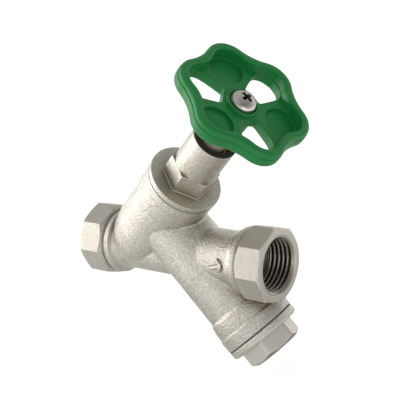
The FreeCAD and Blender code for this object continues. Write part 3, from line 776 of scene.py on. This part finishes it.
# %% Hub and the whole wheel
HUB_BASE, HUB_TOP = 74.2, 85.5
HUB_RADIUS = 6.2
HUB_ROUND = 0.4
SQUARE_CORNER = 5.0
hub = turned(rounded([
    (SQUARE_CORNER, HUB_BASE),
    (HUB_RADIUS - 0.2, HUB_BASE),
    (HUB_RADIUS, WEB_BASE),
    (HUB_RADIUS, WEB_TOP),
    (HUB_RADIUS - 0.3, HUB_TOP),
    (SQUARE_CORNER, HUB_TOP),
], HUB_ROUND))
wheel = make_piece("moulded_handwheel", joined(wheel_rim(), floor_plate, top_plate, hub),
                   BONNET, GREEN_NYLON, "spindle", sharp=40)
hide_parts("handwheel")

# %% [markdown]
# ## The dust ring
#
# A black rubber ring lies in the mouth of the bonnet's tube and keeps dust from the
# packing.  Its lip covers the end of the tube, and the stem shows inside it.

# %% Dust ring
TUBE_TOP = 64.9
TUBE_RADIUS = 8.25
RING_BORE = 6.2
RING_SEAT = 7.5
RING_DEPTH = 1.4
RING_HEIGHT = 0.6
RING_ROUND = 0.2
dust_ring = make_piece("rubber_dust_ring", turned(rounded([
    (RING_BORE, TUBE_TOP - RING_DEPTH),
    (RING_SEAT, TUBE_TOP - RING_DEPTH),
    (RING_SEAT, TUBE_TOP),
    (TUBE_RADIUS - 0.05, TUBE_TOP),
    (TUBE_RADIUS - 0.2, TUBE_TOP + RING_HEIGHT),
    (RING_BORE, TUBE_TOP + RING_HEIGHT),
], RING_ROUND)), BONNET, RUBBER, "valve")
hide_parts("dust_ring")

# %% [markdown]
# ## The screw in the hub
#
# A pan-head screw holds the wheel on its square.  Its head is turned, and the cross
# recess is cut out of it with a tapered cross, just as the punch leaves it: wide at the
# top and narrow at the bottom.

# %% Pan-head screw
HEAD_RADIUS = 4.85
HEAD_BASE, DOME_BASE, HEAD_TOP = 85.1, 85.4, 88.1
DOME_POWER = 0.92
DOME_STEPS = 12
SHANK_RADIUS = 2.4
SHANK_STUB = 3.0
CROSS_REACH = 1.95
CROSS_WIDTH = 0.58
CROSS_TURN = -3
# sections of the cutter, as (height above the head's top, share of the cross's size)
CROSS_TAPER = [(0.5, 1.2), (-0.8, 0.92), (-2.2, 0.5)]


def head_profile():
    """Pan head with a domed top, and a stub of the shank below."""
    outline = [
        (0.0, HEAD_BASE - SHANK_STUB),
        (SHANK_RADIUS, HEAD_BASE - SHANK_STUB),
        (SHANK_RADIUS, HEAD_BASE),
        (HEAD_RADIUS - 0.1, HEAD_BASE),
        (HEAD_RADIUS, HEAD_BASE + 0.15),
    ]
    for i in range(1, DOME_STEPS + 1):
        a = math.radians(90 * i / DOME_STEPS)
        outline.append((HEAD_RADIUS * math.cos(a) ** DOME_POWER,
                        DOME_BASE + (HEAD_TOP - DOME_BASE) * math.sin(a)))
    return outline


def cross_cutter():
    """Tapered cross, from above the head down into it."""
    arm = [(CROSS_WIDTH, CROSS_REACH), (-CROSS_WIDTH, CROSS_REACH), (-CROSS_WIDTH, CROSS_WIDTH)]
    outline = []
    for k in range(4):
        outline += turned_to(arm, 90 * k + CROSS_TURN)
    rings = []
    for above, share in CROSS_TAPER:
        rings.append([(x * share, y * share, HEAD_TOP + above) for x, y in outline])
    points, faces = skin(rings, row_closed=False)
    size = len(outline)
    return points, faces + [tuple(range(size)), tuple(range(2 * size, 3 * size))]


screw = make_piece("pan_head_screw", turned(head_profile(), sides=64), BONNET, SCREW_STEEL,
                   "spindle")
# the cutter's dark material, painted shade, passes to the walls of the recess
cutter = make_piece("cross_cutter", cross_cutter(), BONNET, RECESS_SHADE_STEEL,
                    "spindle")
cut = screw.modifiers.new("cross_recess", "BOOLEAN")
cut.object = cutter
cut.operation = "DIFFERENCE"
cut.solver = "EXACT"
cut.material_mode = "TRANSFER"
punched = screw.evaluated_get(bpy.context.evaluated_depsgraph_get())
finished = bpy.data.meshes.new_from_object(punched)
screw.modifiers.clear()
screw.data = finished
finished.set_sharp_from_angle(angle=math.radians(SHARP))
bpy.data.objects.remove(cutter)
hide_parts("handwheel_screw")
print("screw head has", len(finished.polygons), "faces")

# %% [markdown]
# ## The strainer's cap
#
# The cap is forged: a plug with a pocket for the basket, a round flange, and a hexagon
# for the wrench.  A lathe then chamfers the hexagon's end with a cone, and where the cone
# meets a flat it leaves an arc.  Every direction round the axis gets its own profile
# here, so that one row of points runs exactly along those arcs.

# %% Strainer cap
PLUG_START, CAP_BASE, CAP_FACE, CAP_END = 29.0, 37.1, 40.0, 46.6
PLUG_RADIUS = 12.05
CAP_RADIUS = 14.3
CAP_ROUND = 1.1
POCKET_RADIUS, POCKET_END = 10.6, 35.1
FLAT_DISTANCE = 10.0
CORNER_REACH = 11.36
CROWN_RADIUS = 9.2
CROWN_SLOPE = 0.6
CAP_SIDES = 96
STRAINER_WAY = (STRAINER.to_3x3() @ Vector((0, 0, 1))).normalized()


def cap_profile(turn):
    """Section of the cap in one direction round its axis, in degrees."""
    from_flat = math.radians(turn % 60 - 30)
    flat = min(FLAT_DISTANCE / math.cos(from_flat), CORNER_REACH)
    crown = CAP_END - (flat - CROWN_RADIUS) * CROWN_SLOPE
    plug = [(POCKET_RADIUS, PLUG_START), (PLUG_RADIUS, PLUG_START), (PLUG_RADIUS, CAP_BASE)]
    edge = arc((CAP_RADIUS - CAP_ROUND, CAP_FACE - CAP_ROUND), CAP_ROUND, 0, 90)
    flange = [(CAP_RADIUS, CAP_BASE)] + edge
    hexagon = [(flat, CAP_FACE), (flat, crown), (CROWN_RADIUS, CAP_END), (0.0, CAP_END)]
    pocket = [(0.0, POCKET_END), (POCKET_RADIUS, POCKET_END)]
    return plug + flange + hexagon + pocket


def forged_cap():
    """The cap's sections, joined round its axis."""
    rings = []
    for i in range(CAP_SIDES):
        turn = 360 * i / CAP_SIDES
        way = Vector((math.cos(math.radians(turn)), math.sin(math.radians(turn))))
        rings.append([(*(way * reach), height) for reach, height in cap_profile(turn)])
    return skin(rings)


def cap_finish(face):
    """0 as forged, 1 linished on the flats, 2 turned on the end and the chamfer."""
    height = (STRAINER.inverted() @ face.center).z
    if height < CAP_FACE + 0.1:
        return 0
    faces_sideways = abs(face.normal.dot(STRAINER_WAY)) < 0.1
    return 1 if faces_sideways else 2


cap = make_piece("forged_strainer_cap", forged_cap(), STRAINER, FORGED_CAP,
                 "cap")
cap.data.materials.append(CAP_FLAT)
cap.data.materials.append(TURNED_CAP)
for face in cap.data.polygons:
    face.material_index = cap_finish(face)
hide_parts("strainer_cap")

# %% [markdown]
# ## The strainer's screen
#
# The basket is a sheet of stainless steel with rows of small holes, rolled to a tube.
# The holes are 0.8 mm in truth; here each stands for four, so that the screen still
# reads as a screen through the outlet.  Every cell of a grid is inset and its middle is
# deleted, which leaves a web of real metal, and Solidify gives the sheet its thickness.

# %% Perforated screen
SCREEN_RADIUS = 8.9
SCREEN_LOW, SCREEN_HIGH = -6.4, 33.5
HOLE_PITCH = 1.6
HOLE_INSET = 0.3
SHEET_THICKNESS = 0.3


def screen_sheet():
    """The screen as a tube of quads, one for each hole."""
    around = int(2 * math.pi * SCREEN_RADIUS / HOLE_PITCH)
    rows = int((SCREEN_HIGH - SCREEN_LOW) / HOLE_PITCH)
    rings = []
    for i in range(rows + 1):
        height = SCREEN_LOW + (SCREEN_HIGH - SCREEN_LOW) * i / rows
        ring = []
        for j in range(around):
            turn = 2 * math.pi * (j + 0.5 * (i % 2)) / around
            ring.append((SCREEN_RADIUS * math.cos(turn), SCREEN_RADIUS * math.sin(turn), height))
        rings.append(ring)
    return skin(rings, row_closed=False)


screen = make_piece("perforated_screen", screen_sheet(), STRAINER, STEEL,
                    "basket")
sheet = bmesh.new()
sheet.from_mesh(screen.data)
cells = list(sheet.faces)
bmesh.ops.inset_individual(sheet, faces=cells, thickness=HOLE_INSET * MM)
bmesh.ops.delete(sheet, geom=cells, context="FACES")
sheet.to_mesh(screen.data)
sheet.free()
thickness = screen.modifiers.new("sheet_thickness", "SOLIDIFY")
thickness.thickness = SHEET_THICKNESS * MM
thickness.offset = -1
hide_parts("basket_screen")
print("holes in the screen:", len(cells))

# %% [markdown]
# ## Camera
#
# The camera stands in front and to the right of the outlet, a little above it, and is
# rolled by some ten degrees.  It is given by where it stands, what it looks at and that
# roll.

# %% Camera
CAMERA_AT = Vector((278.46, -265.53, 168.17)) * MM
LOOKS_AT = Vector((48.63, 4.92, 18.99)) * MM
ROLL = -10.58
LENS, SENSOR = 95.1, 36
camera = bpy.data.objects.new("camera", bpy.data.cameras.new("camera"))
camera.data.lens = LENS
camera.data.sensor_width = SENSOR
camera.location = CAMERA_AT
camera.rotation_mode = "QUATERNION"
towards = (LOOKS_AT - CAMERA_AT).to_track_quat("-Z", "Y")
camera.rotation_quaternion = towards @ Quaternion((0, 0, 1), math.radians(ROLL))
bpy.context.scene.collection.objects.link(camera)
bpy.context.scene.camera = camera

# %% [markdown]
# ## Floor and light
#
# Metal shows what stands round it, so the light is a small studio: a pale floor, a sky
# that is bright at the sides and greyer overhead, and two soft lamps.  The grey overhead
# keeps the upward faces darker.  Towards +X, the way the outlet looks, the sky falls to
# half, which keeps the faces on that side darker too.
#
# To the camera the floor also glows a little, so the page stays white and still keeps a
# shadow.  Reflections show that glow as well, but only well away from the valve: the dull
# floor round its foot darkens the faces that look down.  Behind everything the camera sees
# a plain white page.

# %% Floor
FLOOR_DROP = 4.0
FLOOR_GLOW = 0.6
FLOOR_REACH = 3.0
GLOW_START, GLOW_FULL = 0.05, 0.26
PAPER = "#F2F2F0"


def make_floor():
    """White paper below the valve."""
    height = cad_low.z - FLOOR_DROP * MM
    mesh = bpy.data.meshes.new("floor")
    corners = [(x * FLOOR_REACH, y * FLOOR_REACH, height)
               for x, y in ((-1, -1), (1, -1), (1, 1), (-1, 1))]
    mesh.from_pydata(corners, [], [(0, 1, 2, 3)])
    material, tree, output = new_material("white_paper_floor")
    ray = add_node(tree, "ShaderNodeLightPath")
    place = add_node(tree, "ShaderNodeTexCoord").outputs["Object"]
    away = add_node(tree, "ShaderNodeVectorMath", {0: place, 1: (*LOOKS_AT.xy, height)},
                    operation="DISTANCE")
    clear = add_node(tree, "ShaderNodeMapRange",
                     {"Value": away.outputs["Value"], "From Min": GLOW_START,
                      "From Max": GLOW_FULL})
    mirrored = add_node(tree, "ShaderNodeMath",
                        {0: ray.outputs["Is Glossy Ray"], 1: ray.outputs["Is Transmission Ray"]},
                        operation="MAXIMUM")
    in_metal = add_node(tree, "ShaderNodeMath", {0: mirrored.outputs[0], 1: clear.outputs[0]},
                        operation="MULTIPLY")
    seen = add_node(tree, "ShaderNodeMath",
                    {0: ray.outputs["Is Camera Ray"], 1: in_metal.outputs[0]},
                    operation="MAXIMUM")
    paper = add_node(tree, "ShaderNodeBsdfDiffuse", {"Color": linear(PAPER)})
    glow = add_node(tree, "ShaderNodeEmission", {"Strength": FLOOR_GLOW})
    lit = add_node(tree, "ShaderNodeAddShader", {0: paper.outputs[0], 1: glow.outputs[0]})
    mixed = add_node(tree, "ShaderNodeMixShader",
                     {"Fac": seen.outputs[0], 1: paper.outputs[0], 2: lit.outputs[0]})
    tree.links.new(mixed.outputs[0], output.inputs["Surface"])
    mesh.materials.append(material)
    floor = bpy.data.objects.new("floor", mesh)
    bpy.context.scene.collection.objects.link(floor)
    floor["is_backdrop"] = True


make_floor()

# %% World and lamps
SKY_OVERHEAD = 0.56
DIM_SIDE = (1.0, 0.0, 0.0)
SIDE_LIGHT = 0.5


def make_world():
    """The studio's sky, and the white page that the camera sees in its place."""
    world = bpy.data.worlds.new("studio")
    bpy.context.scene.world = world
    world.use_nodes = True
    tree = world.node_tree
    tree.nodes.clear()
    direction = add_node(tree, "ShaderNodeTexCoord").outputs["Generated"]
    height = add_node(tree, "ShaderNodeSeparateXYZ", {"Vector": direction}).outputs["Z"]
    band = add_node(tree, "ShaderNodeMapRange",
                    {"Value": height, "From Min": 0.15, "From Max": 0.45,
                     "To Min": 1.0, "To Max": SKY_OVERHEAD})
    aside = add_node(tree, "ShaderNodeVectorMath", {0: direction, 1: DIM_SIDE},
                     operation="DOT_PRODUCT")
    dim = add_node(tree, "ShaderNodeMapRange",
                   {"Value": aside.outputs["Value"], "From Min": 0.1, "From Max": 0.9,
                    "To Min": 1.0, "To Max": SIDE_LIGHT})
    light = add_node(tree, "ShaderNodeMath", {0: band.outputs[0], 1: dim.outputs[0]},
                     operation="MULTIPLY")
    grey = add_node(tree, "ShaderNodeCombineColor",
                    {"Red": light.outputs[0], "Green": light.outputs[0], "Blue": light.outputs[0]})
    studio = add_node(tree, "ShaderNodeBackground", {"Color": grey.outputs[0], "Strength": 1.0})
    page = add_node(tree, "ShaderNodeBackground", {"Color": (1.0, 1.0, 1.0, 1.0), "Strength": 1.0})
    ray = add_node(tree, "ShaderNodeLightPath")
    seen = add_node(tree, "ShaderNodeMixShader",
                    {"Fac": ray.outputs["Is Camera Ray"], 1: studio.outputs[0], 2: page.outputs[0]})
    output = tree.nodes.new("ShaderNodeOutputWorld")
    tree.links.new(seen.outputs[0], output.inputs["Surface"])


def make_softbox(name, place_mm, size_mm, power):
    """A square lamp that faces the middle of the valve."""
    lamp = bpy.data.lights.new(name, "AREA")
    lamp.size = size_mm * MM
    lamp.energy = power
    holder = bpy.data.objects.new(name, lamp)
    holder.location = Vector(place_mm) * MM
    holder.rotation_mode = "QUATERNION"
    holder.rotation_quaternion = (LOOKS_AT - holder.location).to_track_quat("-Z", "Y")
    bpy.context.scene.collection.objects.link(holder)


make_world()
make_softbox("key_softbox", (-570, -275, 195), size_mm=600, power=2.2)
make_softbox("fill_softbox", (500, -250, 60), size_mm=300, power=0.15)
bpy.context.scene.view_settings.view_transform = "Standard"

# %% [markdown]
# ## Sizes
#
# The last cell prints how many mm the box of the dressed valve reaches past the box of the
# solids on each side, to show whether the looks stay within the engineering size.

# %% Print the sizes
final_low, final_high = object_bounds()
grown = (*(cad_low - final_low), *(final_high - cad_high))
print("grown by mm:", [round(v / MM, 2) for v in grown])
